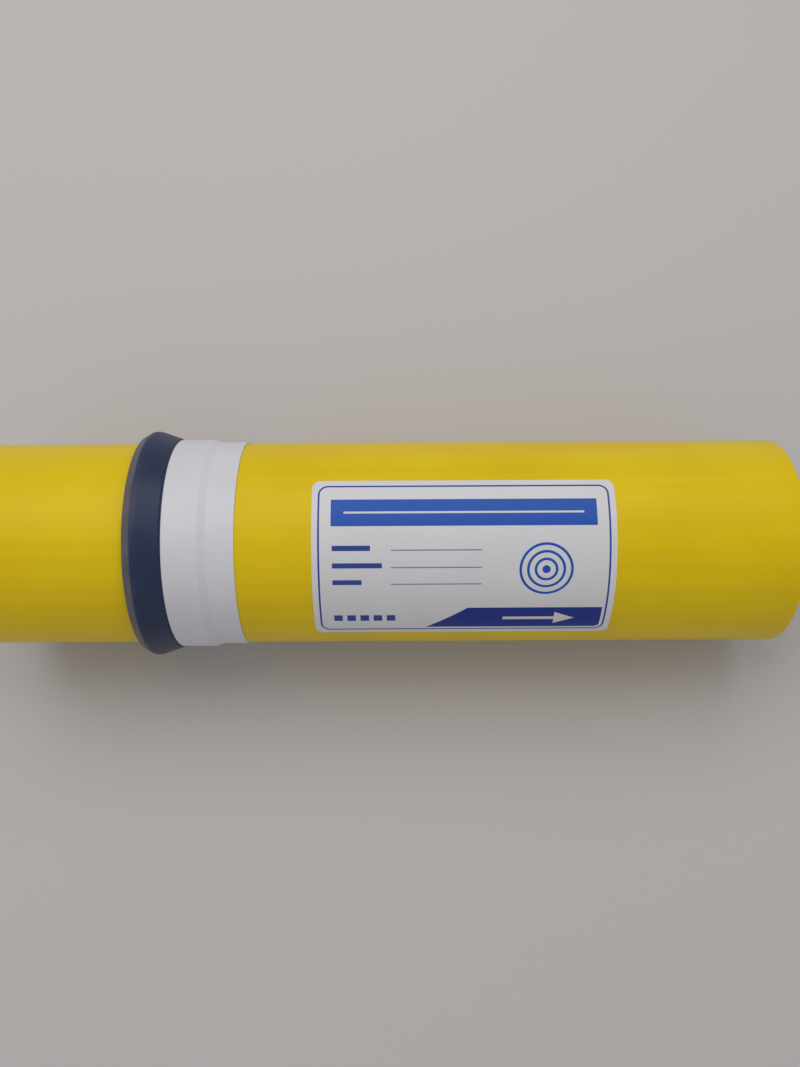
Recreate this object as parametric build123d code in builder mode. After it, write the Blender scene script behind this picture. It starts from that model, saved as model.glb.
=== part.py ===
from build123d import *
from math import ceil, cos, degrees, pi, sin
import os

# Spiral-wound reverse-osmosis membrane element, in millimetres and degrees.
# The axis lies along X and the origin is at mid-length on the axis. Feed water enters at the -X end,
# runs along the spacers, and the permeate leaves the core tube at the +X end.

# Wound body and its wraps
body_length = 290.0
body_diameter = 75.0
wrap_wall = 1.5
feed_wrap_wall = 1.3
rim_recess = 1.0
rim_chamfer = 0.4

# Membrane leaves and feed spacers, wound together on the core tube
leaf_count = 6
leaf_thickness = 1.75
spacer_thickness = 1.45
sheet_clearance = 0.05
spiral_start = 0.5

# Core tube, with a closed locating stub and an open permeate spigot
core_diameter = 18.0
spigot_diameter = 17.0
stub_length = 20.0
tip_chamfer = 1.2
bore_diameter = 10.0
mouth_diameter = 11.0
mouth_depth = 15.0
closed_end_wall = 24.0
permeate_hole_diameter = 3.0
permeate_hole_pitch = 56.0

# O-rings on the permeate spigot
o_ring_section = 2.0
o_ring_clearance = 0.02
groove_depth = 1.5
groove_width = 2.6
tip_land = 7.0
groove_pitch = 5.5

# Seal collar
collar_front_x = -85.95
collar_ring_length = 12.3
collar_ring_wall = 2.9
collar_taper_length = 2.8
collar_skirt_length = 9.65
collar_skirt_wall = 1.9
collar_tail_length = 8.0
collar_tail_wall = 0.6
collar_edge = 0.5
seal_groove_length = 9.5
seal_groove_wall = 1.2
seal_rim_length = 2.0
seal_rim_height = 0.8

# Brine seal, a U-cup that opens towards the feed end
seal_heel_proud = 0.3
seal_lip_reach = 2.8
seal_land_length = 1.4
seal_nose_length = 3.2
seal_nose_drop = 1.8
seal_lip_overhang = 1.25
seal_lip_edge = 0.6
seal_leg_wall = 1.0
seal_heel_length = 3.4
seal_cavity_width = 0.8

# Label
label_length = 104.0
label_width = 61.0
label_thickness = 0.18
label_bond = 0.02
label_corner = 3.0
label_centre_x = 28.6
label_centre_angle = 114.0

fit_clearance = 0.05

# Place of the turned sleeves' seams about the axis, clear of the line that the element lies on
seam_angle = 45.0

# Sizes that follow from the above
body_radius = body_diameter / 2
body_end_x = body_length / 2
overall_length = body_length + 2 * stub_length
outlet_x = overall_length / 2
pack_radius = body_radius - wrap_wall
wound_radius = pack_radius - fit_clearance
wound_length = body_length - 2 * rim_recess
core_radius = core_diameter / 2
spigot_radius = spigot_diameter / 2

groove_end_x = collar_front_x + seal_rim_length + seal_groove_length
ring_end_x = groove_end_x + collar_ring_length
skirt_start_x = ring_end_x + collar_taper_length
skirt_end_x = skirt_start_x + collar_skirt_length
tail_end_x = skirt_end_x + collar_tail_length
tail_radius = pack_radius + collar_tail_wall
ring_radius = pack_radius + collar_ring_wall
skirt_radius = pack_radius + collar_skirt_wall
seal_groove_radius = pack_radius + seal_groove_wall
seal_rim_radius = seal_groove_radius + seal_rim_height
feed_wrap_radius = pack_radius + feed_wrap_wall
seam_plane = Plane.XY.rotated((seam_angle, 0, 0))

leaf_pitch = leaf_thickness + spacer_thickness + 2 * sheet_clearance
hub_radius = leaf_pitch / (2 * sin(pi / leaf_count))
sector = 360 / leaf_count
arc_count = ceil((wound_radius + hub_radius) / leaf_pitch) + 1

os.makedirs("parts", exist_ok=True)


def keep(piece, name):
    """Label a finished piece and write its STEP file."""
    piece.part.label = name
    export_step(piece.part, f"parts/{name}.step")


def hub_corner(step):
    """Return a corner of the small polygon that the spiral unwinds from."""
    angle = 2 * pi * step / leaf_count
    return (hub_radius * cos(angle), hub_radius * sin(angle))


def wound_section(start, inner_offset, outer_offset):
    """Return the end section of one wound sheet, trimmed to the ring between core tube and wraps.

    A sheet unwinds from a polygon with one corner for each leaf and sides as long as the leaf pitch,
    so each of its arcs is concentric with its neighbours' arcs and all sheets nest evenly.
    """
    first_angle = sector * (start - 0.5) - 90
    with BuildSketch(Plane.YZ.offset(-wound_length / 2)) as section:
        with BuildLine():
            ends = []
            for offset_from_leaf in (inner_offset, outer_offset):
                arcs = []
                for step in range(arc_count):
                    arc_radius = spiral_start + step * leaf_pitch + offset_from_leaf
                    arc_angle = first_angle + step * sector
                    arcs.append(CenterArc(hub_corner(start + step), arc_radius, arc_angle, sector))
                ends.append((arcs[0] @ 0, arcs[-1] @ 1))
            Line(ends[0][0], ends[1][0])
            Line(ends[0][1], ends[1][1])
        make_face()
        Circle(wound_radius, mode=Mode.INTERSECT)
        Circle(core_radius + fit_clearance, mode=Mode.SUBTRACT)
    return section.sketch


# Core tube: thicker along the pack, with a stub of spigot size at each end
with BuildPart() as permeate_tube:
    with BuildSketch(Plane.YZ.offset(-outlet_x)):
        Circle(spigot_radius)
    extrude(amount=overall_length)
    tip_edges = permeate_tube.edges().filter_by(GeomType.CIRCLE)
    chamfer(tip_edges, tip_chamfer)
    with BuildSketch(Plane.YZ.offset(-body_end_x)):
        Circle(core_radius)
    extrude(amount=body_length)
    with Locations(Plane.YZ.offset(outlet_x)):
        CounterBoreHole(
            radius=bore_diameter / 2,
            counter_bore_radius=mouth_diameter / 2,
            counter_bore_depth=mouth_depth,
            depth=overall_length - closed_end_wall,
        )
    # Permeate holes in two crossing rows, the second between the holes of the first
    hole_count = int(wound_length / permeate_hole_pitch)
    for row_plane, row_count in ((Plane.XY, hole_count), (Plane.XZ, hole_count - 1)):
        with Locations(row_plane):
            with GridLocations(permeate_hole_pitch, permeate_hole_pitch, row_count, 1):
                Hole(permeate_hole_diameter / 2)
    # O-ring grooves
    outer_groove_x = outlet_x - tip_land - groove_width / 2
    groove_places = (outer_groove_x - groove_pitch, outer_groove_x)
    with BuildSketch():
        with Locations(*[(groove_x, spigot_radius) for groove_x in groove_places]):
            Rectangle(groove_width, 2 * groove_depth)
    revolve(axis=Axis.X, mode=Mode.SUBTRACT)
keep(permeate_tube, "permeate_tube")

# O-rings, seated on the floors of their grooves
ring_centre_radius = spigot_radius - groove_depth + o_ring_clearance + o_ring_section / 2
for ring_name, groove_x in zip(("o_ring_inner", "o_ring_outer"), groove_places):
    with BuildPart() as o_ring:
        with BuildSketch():
            with Locations((groove_x, ring_centre_radius)):
                Circle(o_ring_section / 2)
        revolve(axis=Axis.X)
    keep(o_ring, ring_name)

# Membrane leaves and the feed spacers between them
for leaf in range(leaf_count):
    with BuildPart() as membrane_leaf:
        extrude(wound_section(leaf, 0, leaf_thickness), amount=wound_length)
    keep(membrane_leaf, f"membrane_leaf_{leaf + 1}")

    spacer_offset = leaf_thickness + sheet_clearance
    with BuildPart() as feed_spacer:
        extrude(
            wound_section(leaf, spacer_offset, spacer_offset + spacer_thickness),
            amount=wound_length,
        )
    keep(feed_spacer, f"feed_spacer_{leaf + 1}")

# Main wrap, relieved at its feed side to lap over the collar's tail
with BuildPart() as outer_wrap:
    with BuildSketch(seam_plane):
        with BuildLine():
            Polyline(
                (skirt_end_x + fit_clearance, tail_radius + fit_clearance),
                (skirt_end_x + fit_clearance, body_radius),
                (body_end_x, body_radius),
                (body_end_x, pack_radius),
                (tail_end_x + fit_clearance, pack_radius),
                (tail_end_x + fit_clearance, tail_radius + fit_clearance),
                close=True,
            )
        make_face()
    revolve(axis=Axis.X)
    chamfer(outer_wrap.edges().filter_by(GeomType.CIRCLE).group_by(Axis.X)[-1], rim_chamfer)
keep(outer_wrap, "outer_wrap")

# Short wrap between the feed end and the collar
with BuildPart() as feed_end_wrap:
    with BuildSketch(seam_plane):
        with BuildLine():
            Polyline(
                (-body_end_x, pack_radius),
                (-body_end_x, feed_wrap_radius),
                (collar_front_x - fit_clearance, feed_wrap_radius),
                (collar_front_x - fit_clearance, pack_radius),
                close=True,
            )
        make_face()
    revolve(axis=Axis.X)
    chamfer(feed_end_wrap.edges().filter_by(GeomType.CIRCLE).group_by(Axis.X)[0], rim_chamfer)
keep(feed_end_wrap, "feed_end_wrap")

# Collar: retaining rim, seal groove, ring, tapered step, skirt, and a thin tail under the main wrap
with BuildPart() as seal_collar:
    with BuildSketch(seam_plane):
        with BuildLine():
            Polyline(
                (collar_front_x, pack_radius),
                (collar_front_x, seal_rim_radius),
                (collar_front_x + seal_rim_length, seal_rim_radius),
                (collar_front_x + seal_rim_length, seal_groove_radius),
                (groove_end_x, seal_groove_radius),
                (groove_end_x, ring_radius - collar_edge),
                (groove_end_x + collar_edge, ring_radius),
                (ring_end_x, ring_radius),
                (skirt_start_x, skirt_radius),
                (skirt_end_x, skirt_radius),
                (skirt_end_x, tail_radius),
                (tail_end_x, tail_radius),
                (tail_end_x, pack_radius),
                close=True,
            )
        make_face()
    revolve(axis=Axis.X)
keep(seal_collar, "seal_collar")

# Brine seal: a heel against the collar's ring, a leg in the groove and a flared outer lip
seal_heel_x = groove_end_x - fit_clearance
seal_bore_radius = seal_groove_radius + fit_clearance
heel_radius = ring_radius + seal_heel_proud
lip_radius = heel_radius + seal_lip_reach
leg_radius = seal_bore_radius + seal_leg_wall
leg_tip_x = collar_front_x + seal_rim_length + fit_clearance
cavity_x = seal_heel_x - seal_heel_length
nose_x = collar_front_x - seal_lip_overhang
land_front_x = nose_x + seal_nose_length
land_back_x = land_front_x + seal_land_length
nose_radius = lip_radius - seal_nose_drop
with BuildPart() as brine_seal:
    with BuildSketch(seam_plane):
        with BuildLine():
            Polyline(
                (seal_heel_x, seal_bore_radius),
                (seal_heel_x, heel_radius),
                (land_back_x, lip_radius),
                (land_front_x, lip_radius),
                (nose_x, nose_radius),
                (nose_x + seal_lip_edge, nose_radius - seal_lip_edge),
                (cavity_x, leg_radius + seal_cavity_width),
                (cavity_x, leg_radius),
                (leg_tip_x, leg_radius),
                (leg_tip_x, seal_bore_radius),
                close=True,
            )
        make_face()
    revolve(axis=Axis.X)
keep(brine_seal, "brine_seal")

# Label: a thin curved sheet with rounded corners
label_inner_radius = body_radius + label_bond
label_sweep = degrees(label_width / body_radius)
with BuildPart() as label:
    label_plane = Plane.XY.rotated((label_centre_angle - label_sweep / 2, 0, 0))
    with BuildSketch(label_plane):
        with Locations((label_centre_x, label_inner_radius + label_thickness / 2)):
            Rectangle(label_length, label_thickness)
    revolve(axis=Axis.X, revolution_arc=label_sweep)
    corner_edges = label.edges().filter_by(GeomType.LINE).filter_by(Axis.X, reverse=True)
    fillet(corner_edges, label_corner)
keep(label, "label")
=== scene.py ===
"""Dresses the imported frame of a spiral-wound membrane element: film wraps, seal collar, brine seal,
label, core tube, O-rings, membrane leaves and spacer nets, on a plain stage."""

import math
from functools import reduce
from operator import or_

import bmesh
import bpy
from bpy.props import FloatProperty, FloatVectorProperty, IntProperty, PointerProperty
from mathutils import Matrix, Vector


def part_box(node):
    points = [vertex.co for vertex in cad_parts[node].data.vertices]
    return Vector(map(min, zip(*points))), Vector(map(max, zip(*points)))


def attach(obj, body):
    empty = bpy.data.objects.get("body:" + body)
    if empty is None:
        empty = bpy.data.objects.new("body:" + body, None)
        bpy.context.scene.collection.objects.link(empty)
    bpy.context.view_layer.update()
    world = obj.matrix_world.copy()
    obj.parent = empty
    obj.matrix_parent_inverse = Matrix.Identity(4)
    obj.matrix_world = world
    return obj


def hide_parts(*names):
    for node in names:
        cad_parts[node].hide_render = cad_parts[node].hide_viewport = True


bl_info = {
    "name": "Membrane element",
    "version": (1, 0, 0),
    "blender": (4, 5, 0),
    "location": "View3D > Sidebar > Element",
    "description": "Models and finishes the pieces of a spiral-wound membrane element",
    "category": "Object",
}

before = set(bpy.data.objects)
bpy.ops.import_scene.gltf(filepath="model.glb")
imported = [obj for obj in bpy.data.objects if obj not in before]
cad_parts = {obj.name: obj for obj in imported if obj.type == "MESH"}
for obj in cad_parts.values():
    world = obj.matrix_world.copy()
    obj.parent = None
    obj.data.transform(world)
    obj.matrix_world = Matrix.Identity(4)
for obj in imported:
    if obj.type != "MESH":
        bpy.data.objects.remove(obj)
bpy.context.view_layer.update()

MM = 0.001
FULL_TURN = 2.0 * math.pi
QUARTER_TURN = math.pi / 2.0
ORIGIN = (0.0, 0.0, 0.0)
AXIS = (1.0, 0.0, 0.0)
TURN_STEPS = 192
ROUND_STEPS = 6
CORNER_STEPS = 8
# A count of sides that keeps a drill's corners off the edges of the tube
DRILL_SIDES = 30
SMOOTH_ANGLE = math.radians(24.0)
FLAT_WEIGHT = 80
MERGE_GAP = 1e-6
SENSOR_WIDTH = 36.0
CLIP_START = 5.0 * MM
FLOOR_SIZE = 60.0

LEAF_COUNT = sum(name.startswith("membrane_leaf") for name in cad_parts)
SECTOR = FULL_TURN / LEAF_COUNT
RING_NODES = ("o_ring_inner", "o_ring_outer")


def reach(node):
    """The first x, the last x and the outer radius of a CAD node that is round about the X axis."""
    low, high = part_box(node)
    return low.x, high.x, high.z


WRAP_START, WRAP_END, WRAP_RADIUS = reach("outer_wrap")
FEED_START, FEED_END, FEED_RADIUS = reach("feed_end_wrap")
COLLAR_START, COLLAR_END, COLLAR_RADIUS = reach("seal_collar")
SEAL_START, SEAL_END, SEAL_RADIUS = reach("brine_seal")
TUBE_START, TUBE_END, TUBE_RADIUS = reach("permeate_tube")
LABEL_START, LABEL_END, _ = reach("label")
ROLL_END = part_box("membrane_leaf_1")[1].x
RING_PLACES = [sum(reach(node)[:2]) / 2.0 for node in RING_NODES]


def length(name, description, default):
    """A length in millimetres that a user may change."""
    return FloatProperty(
        name=name, description=description, default=default * MM, unit="LENGTH", precision=5
    )


def angle(name, description, degrees):
    """An angle that a user may change."""
    return FloatProperty(name=name, description=description, default=math.radians(degrees), subtype="ANGLE")


def colour(name, description, default):
    """A colour that a user may change, in linear values."""
    return FloatVectorProperty(
        name=name, description=description, default=default, size=3, subtype="COLOR", min=0.0, max=1.0
    )


def power(name, description, default):
    """A lamp's power that a user may change."""
    return FloatProperty(name=name, description=description, default=default, subtype="POWER")


def lengths(name, description, default):
    """A place, or the sides of a rectangle, in metres, that a user may change."""
    return FloatVectorProperty(
        name=name, description=description, default=default, size=len(default), unit="LENGTH"
    )


def ratio(name, description, default):
    """A ratio that a user may change."""
    return FloatProperty(name=name, description=description, default=default)


def number(name, description, default):
    """A count that a user may change."""
    return IntProperty(name=name, description=description, default=default)


class WrapSettings(bpy.types.PropertyGroup):
    """Sizes and colours of the two film wraps."""

    bore: length("Bore", "Inner radius of both wraps", 36.0)
    relief: length("Relief", "Inner radius of the main wrap over the collar's tail", 36.65)
    relief_end: length("Relief end", "Where the main wrap's relief ends", -41.7)
    turns: number("Turns", "Film turns that show on a rim", 5)
    turn_step: length("Turn step", "How far every other turn stands back on a rim", 0.16)
    turn_lean: length("Turn lean", "How far the step between two turns leans inwards", 0.02)
    edge: length("Edge", "Rounding of a wrap's outer edges", 0.35)
    joint: length("Joint", "How far the film closes up to the collar", 0.05)
    ring_span: length("Ring span", "Distance from one ring of faces to the next", 4.0)
    waves: length("Waves", "Height of the film's slow unevenness", 0.10)
    wave_span: length("Wave span", "Spread of the film's slow unevenness", 35.0)
    tail_film: length("Tail film", "Thickness of the last turn's free tail", 0.10)
    tail_angle: angle("Tail angle", "Middle of the tail, from +Y towards +Z", -50.0)
    tail_width: length("Tail width", "Arc length of the tail", 46.0)
    tail_inset: length("Tail inset", "How far the tail stands back from a wrap's ends", 0.4)
    tail_strips: number("Tail strips", "Flat strips across the tail's arc", 36)
    bright: colour("Bright film", "Film where it lies tight", (0.77, 0.552, 0.005))
    deep: colour("Deep film", "Film where turns add up", (0.70, 0.482, 0.003))


class CollarSettings(bpy.types.PropertyGroup):
    """Sizes and colours of the moulded seal collar."""

    bore: length("Bore", "Inner radius", 36.0)
    rim_end: length("Rim end", "Where the seal's groove starts", -83.95)
    rim_radius: length("Rim radius", "Radius of the rim in front of the groove", 38.0)
    groove_end: length("Groove end", "Where the seal's groove ends", -74.45)
    groove_radius: length("Groove radius", "Radius of the groove's floor", 37.2)
    ring_end: length("Ring end", "Where the thick ring ends", -62.15)
    skirt_start: length("Skirt start", "Where the taper meets the skirt", -59.35)
    skirt_end: length("Skirt end", "Where the skirt meets the wrap", -49.7)
    skirt_radius: length("Skirt radius", "Radius of the skirt", 37.9)
    tail_radius: length("Tail radius", "Radius of the tail under the wrap", 36.6)
    edge: length("Edge", "Rounding of the outer edges", 0.5)
    step_edge: length("Step edge", "Rounding of the groove's lip and of the taper", 0.25)
    joint_edge: length("Joint edge", "Rounding where the skirt meets the wrap", 0.1)
    body: colour("Body", "Moulded plastic", (0.66, 0.66, 0.685))
    shade: colour("Shade", "Plastic in its slow mottling", (0.62, 0.62, 0.65))


class SealSettings(bpy.types.PropertyGroup):
    """Sizes and colours of the rubber brine seal."""

    heel_radius: length("Heel radius", "Radius where the seal meets the collar's ring", 39.2)
    land_start: length("Land start", "Front of the lip's widest band", -84.0)
    land_end: length("Land end", "Back of the lip's widest band", -82.6)
    nose_radius: length("Nose radius", "Outer radius of the lip's nose", 40.2)
    lip_edge: length("Lip edge", "Width of the lip's front edge", 0.6)
    cavity_end: length("Cavity end", "How far back the lip is free", -77.9)
    cavity_low: length("Cavity low", "Inner radius of the cavity", 38.25)
    cavity_high: length("Cavity high", "Outer radius of the cavity", 39.05)
    leg_radius: length("Leg radius", "Inner radius of the seal", 37.25)
    leg_start: length("Leg start", "Front of the leg in the collar's groove", -83.9)
    heel_round: length("Heel rounding", "Rounding of the heel", 0.7)
    land_round: length("Land rounding", "Rounding of the lip's widest band", 0.35)
    nose_round: length("Nose rounding", "Rounding of the lip's nose", 0.28)
    cavity_round: length("Cavity rounding", "Rounding of the cavity", 0.3)
    leg_round: length("Leg rounding", "Rounding of the leg's inner edge", 0.2)
    body: colour("Body", "Dark rubber", (0.015, 0.027, 0.072))
    bloom: colour("Bloom", "Dust and bloom on the rubber", (0.026, 0.040, 0.088))
    # Nose: a painted pale sheen where the lip's bevelled nose catches the light
    nose: colour("Nose", "Rubber scuffed pale on the lip's nose", (0.138, 0.126, 0.125))


class LabelSettings(bpy.types.PropertyGroup):
    """Sizes and colours of the label."""

    inner: length("Inner radius", "Radius of the label's back", 37.52)
    film: length("Film", "Thickness of the label", 0.18)
    width: length("Width", "Arc length of the label", 61.0)
    corner: length("Corner", "Rounding of the corners", 3.0)
    centre: angle("Centre", "Middle of the label, from +Y towards +Z", 114.0)
    strips: number("Strips", "Flat strips across the label's arc", 48)
    paper: colour("Paper", "Coated paper", (0.66, 0.65, 0.665))
    line: colour("Line", "Border and small marks", (0.030, 0.060, 0.28))
    band: colour("Band", "Wide band and rings", (0.010, 0.084, 0.42))
    foot: colour("Foot", "Field along the lower edge", (0.009, 0.030, 0.24))


class CoreSettings(bpy.types.PropertyGroup):
    """Sizes and colours of the core tube and its O-rings."""

    spigot: length("Spigot", "Radius of the tube outside the roll", 8.5)
    shoulder: length("Shoulder", "Distance of each shoulder from mid-length", 145.0)
    bore: length("Bore", "Radius of the bore", 5.0)
    bore_end: length("Bore end", "Blind end of the bore", -141.0)
    mouth: length("Mouth", "Radius of the bore's mouth", 5.5)
    mouth_depth: length("Mouth depth", "Depth of the bore's mouth", 15.0)
    tip: length("Tip", "Bevel of the tube's tips", 1.2)
    groove_depth: length("Groove depth", "Depth of the O-ring grooves", 1.5)
    groove_width: length("Groove width", "Width of the O-ring grooves", 2.6)
    mouth_edge: length("Mouth edge", "Rounding of the bore's mouth", 0.4)
    tip_edge: length("Tip edge", "Rounding of the tips and the bore's blind end", 0.3)
    step_edge: length("Step edge", "Rounding of shoulders, steps and groove floors", 0.2)
    groove_edge: length("Groove edge", "Rounding of the grooves' lips", 0.15)
    face_span: length("Face span", "Length of the tube's faces along the axis", 48.0)
    hole: length("Hole", "Radius of the permeate holes", 1.5)
    hole_pitch: length("Hole pitch", "Distance from one pair of holes to the next", 56.0)
    ring_section: length("Ring section", "Thickness of an O-ring", 2.0)
    ring_radius: length("Ring radius", "Radius to the middle of an O-ring's section", 8.02)
    body: colour("Body", "Moulded tube", (0.70, 0.69, 0.66))
    shade: colour("Shade", "Tube in its slow mottling", (0.64, 0.63, 0.60))


class RollSettings(bpy.types.PropertyGroup):
    """Sizes and colours of the wound leaves and nets."""

    inner: length("Inner radius", "Where the sheets leave the core tube", 9.05)
    outer: length("Outer radius", "Where the sheets meet the wrap", 35.95)
    trim: length("Trim", "How far the sleeve that trims the sheets stands past them", 2.0)
    pitch: length("Pitch", "Distance from one leaf to the next", 3.3)
    first_radius: length("First radius", "Radius of the spiral's first arc", 0.5)
    leaf: length("Leaf", "Thickness of a leaf", 1.75)
    skin: length("Skin", "Thickness of the membrane on each face of a leaf", 0.42)
    skin_gap: length("Skin gap", "Clearance between the membrane and the carrier", 0.02)
    carrier_gap: length("Carrier gap", "How far the carrier stands back from the end", 0.5)
    net: length("Net", "Thickness of a spacer net", 1.45)
    net_gap: length("Net gap", "Clearance on each face of a net", 0.05)
    net_depth: length("Net depth", "How deep the open strands show", 6.0)
    strand: length("Strand", "Radius of a strand", 0.34)
    strand_width: ratio("Strand width", "Width of a strand against its height", 1.35)
    strand_layer: ratio("Strand layer", "A strand's height above the middle against its radius", 0.94)
    strand_sides: number("Strand sides", "Sides of a strand", 6)
    strand_steps: number("Strand steps", "Segments along a strand", 4)
    mesh: length("Mesh", "Distance from one strand to the next", 3.0)
    arc_steps: number("Arc steps", "Segments in one arc of a leaf", 14)
    membrane: colour("Membrane", "Membrane's cut edge", (0.70, 0.67, 0.58))
    glue: colour("Glue", "Glue along the leaves' edges", (0.46, 0.38, 0.24))
    carrier: colour("Carrier", "Knitted carrier inside a leaf", (0.74, 0.74, 0.71))
    strand_colour: colour("Net colour", "Spacer net", (0.58, 0.62, 0.62))


class StageSettings(bpy.types.PropertyGroup):
    """The camera, the floor and the lights."""

    elevation: angle("Elevation", "Height of the camera above the horizon", 78.0)
    distance: length("Distance", "Camera's distance from the element's axis", 350.0)
    aim_along: length("Aim along", "Where along the axis the camera aims", 6.8)
    aim_rise: length("Aim rise", "How far above the axis in the picture the camera aims", 3.1)
    roll: angle("Roll", "Turn of the camera about its view", 0.3)
    lens: FloatProperty(name="Lens", description="Focal length", default=31.09, unit="CAMERA")
    floor: colour("Floor", "Pale floor", (0.56, 0.535, 0.52))
    floor_gap: length("Floor gap", "Gap between the floor and the element", 0.05)
    backdrop: colour("Backdrop", "What shows past the floor", (0.43, 0.41, 0.395))
    fade_start: length("Fade start", "Where the floor starts to fade into the backdrop", 350.0)
    fade_end: length("Fade end", "Where the floor has faded into the backdrop", 900.0)
    sky: colour("Sky", "Even light from all round", (0.44, 0.44, 0.45))
    key_place: lengths("Key place", "Middle of the softbox above and behind", (-0.12, 0.42, 0.80))
    key_size: lengths("Key size", "Sides of the softbox above and behind", (1.05, 0.70))
    key_power: power("Key power", "Power of the softbox above and behind", 4.4)
    key_tint: colour("Key tint", "Colour of the softbox above and behind", (1.0, 1.0, 1.0))
    fill_place: lengths("Fill place", "Middle of the softbox in front", (-0.35, -0.95, 0.75))
    fill_size: lengths("Fill size", "Sides of the softbox in front", (1.0, 0.8))
    fill_power: power("Fill power", "Power of the softbox in front", 0.5)
    fill_tint: colour("Fill tint", "Colour of the softbox in front", (0.78, 0.88, 1.0))


def math_node(operation, swapped=False):
    """A method that joins a field and another term, in this order or swapped, in a Math node."""

    def method(field, *others):
        terms = (*others, field) if swapped else (field, *others)
        return field.shading.add("ShaderNodeMath", {"operation": operation}, dict(enumerate(terms)))

    return method


class Field:
    """A value that changes over a surface: a shader socket on which operators add Math nodes."""

    def __init__(self, shading, socket):
        self.shading = shading
        self.socket = socket

    __add__ = __radd__ = math_node("ADD")
    __mul__ = __rmul__ = math_node("MULTIPLY")
    __sub__ = math_node("SUBTRACT")
    __rsub__ = math_node("SUBTRACT", swapped=True)
    __truediv__ = math_node("DIVIDE")
    __rtruediv__ = math_node("DIVIDE", swapped=True)
    __pow__ = math_node("POWER")
    __abs__ = math_node("ABSOLUTE")
    __gt__ = math_node("GREATER_THAN")
    __lt__ = math_node("LESS_THAN")
    __and__ = math_node("MINIMUM")
    __or__ = math_node("MAXIMUM")


class Shading:
    """A tree of shader nodes, of a material or of the world."""

    def __init__(self, tree):
        self.nodes = tree.nodes
        self.links = tree.links

    def fill(self, socket, value):
        """Links a field to a socket, or sets the socket to a number or colour."""
        if isinstance(value, Field):
            self.links.new(value.socket, socket)
        elif hasattr(value, "__len__") and len(value) == 3 and socket.type == "RGBA":
            socket.default_value = (*value, 1.0)
        else:
            socket.default_value = value

    def add(self, kind, settings=None, inputs=None, output=0):
        """Adds a node, makes its settings, then fills its sockets with values or links."""
        node = self.nodes.new(kind)
        for name, value in (settings or {}).items():
            setattr(node, name, value)
        for name, value in (inputs or {}).items():
            self.fill(node.inputs[name], value)
        return Field(self, node.outputs[output])


def socket_name(word):
    """The shader's own name for a socket, from the word for it here."""
    return word.replace("_", " ").title().replace("Ior", "IOR")


class Finish(Shading):
    """A procedural material: a Principled shader and the nodes that feed it."""

    def __init__(self, name, **constants):
        self.material = bpy.data.materials.new(name)
        self.material.use_nodes = True
        super().__init__(self.material.node_tree)
        self.shader = self.nodes["Principled BSDF"]
        self.wear(**constants)
        self.place = self.add("ShaderNodeTexCoord", output="Object")

    def along(self):
        """The Object coordinates as three fields."""
        parted = self.add("ShaderNodeSeparateXYZ", {}, {0: self.place})
        return [Field(self, socket) for socket in parted.socket.node.outputs]

    def noise(self, scale, detail, stretch=(1.0, 1.0, 1.0)):
        """Noise of this many grains to the metre, drawn out along an axis whose stretch is small."""
        spread = self.add("ShaderNodeMapping", {}, {"Vector": self.place, "Scale": stretch})
        grains = {"Vector": spread, "Scale": scale, "Detail": detail}
        return self.add("ShaderNodeTexNoise", {}, grains, "Fac")

    def mix(self, factor, first, second):
        """A colour between two others."""
        return self.add("ShaderNodeMix", {"data_type": "RGBA"}, {0: factor, 6: first, 7: second}, 2)

    def bump(self, height, distance):
        """A normal that follows a height."""
        return self.add("ShaderNodeBump", {}, {"Distance": distance, "Height": height}, "Normal")

    def wear(self, **values):
        """Feeds fields, numbers or colours to the shader's own sockets, and gives the material."""
        for socket, value in values.items():
            self.fill(self.shader.inputs[socket_name(socket)], value)
        return self.material


def contrast(field, low, high):
    """A field stretched so that low gives 0 and high gives 1."""
    return ((field - low) / (high - low) | 0.0) & 1.0


def any_of(masks):
    """A mask that holds wherever one of several does."""
    return reduce(or_, masks)


def film_finish(settings):
    """Glossy wrapped film: faint streaks along the element, slow changes of depth, soft scuffs."""
    film = Finish(
        "wrap_film", coat_roughness=0.32, specular_ior_level=0.28, specular_tint=(1.0, 0.84, 0.34)
    )
    streaks = film.noise(1.0, 3.0, (9.0, 260.0, 260.0))
    fine_streaks = film.noise(1.0, 2.0, (25.0, 900.0, 900.0))
    depth = film.noise(26.0, 3.0)
    scuffs = contrast(film.noise(1.0, 4.0, (160.0, 420.0, 420.0)), 0.62, 0.80)
    # A paler yellow for the film's scuffs
    scuff_and_sheen = (0.80, 0.66, 0.20)
    tone = contrast(depth * 0.6 + streaks * 0.4, 0.32, 0.68)
    body = film.mix(tone, settings.deep, settings.bright)
    body = film.mix(scuffs * 0.10, body, scuff_and_sheen)
    height = streaks * 0.55 + fine_streaks * 0.15 + depth * 1.2
    return film.wear(
        base_color=body,
        roughness=0.40 + 0.08 * streaks + 0.12 * scuffs,
        coat_weight=0.10 - 0.06 * scuffs,
        normal=film.bump(height, 0.10 * MM),
    )


def plastic_finish(name, body, shade):
    """Satin moulded plastic: slow mottling, a fine moulded grain and a few light scratches."""
    plastic = Finish(name, specular_ior_level=0.42)
    mottling = plastic.noise(55.0, 3.0)
    grain = plastic.noise(2600.0, 2.0)
    scratches = contrast(plastic.noise(1.0, 3.0, (900.0, 45.0, 45.0)), 0.66, 0.78)
    tone = plastic.mix(contrast(mottling, 0.35, 0.65), shade, body)
    tone = plastic.mix(scratches * 0.12, tone, shade)
    return plastic.wear(
        base_color=tone,
        roughness=0.36 + 0.10 * mottling + 0.10 * scratches,
        normal=plastic.bump(grain * 0.35 - scratches * 0.8 + mottling * 0.8, 0.03 * MM),
    )


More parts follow.
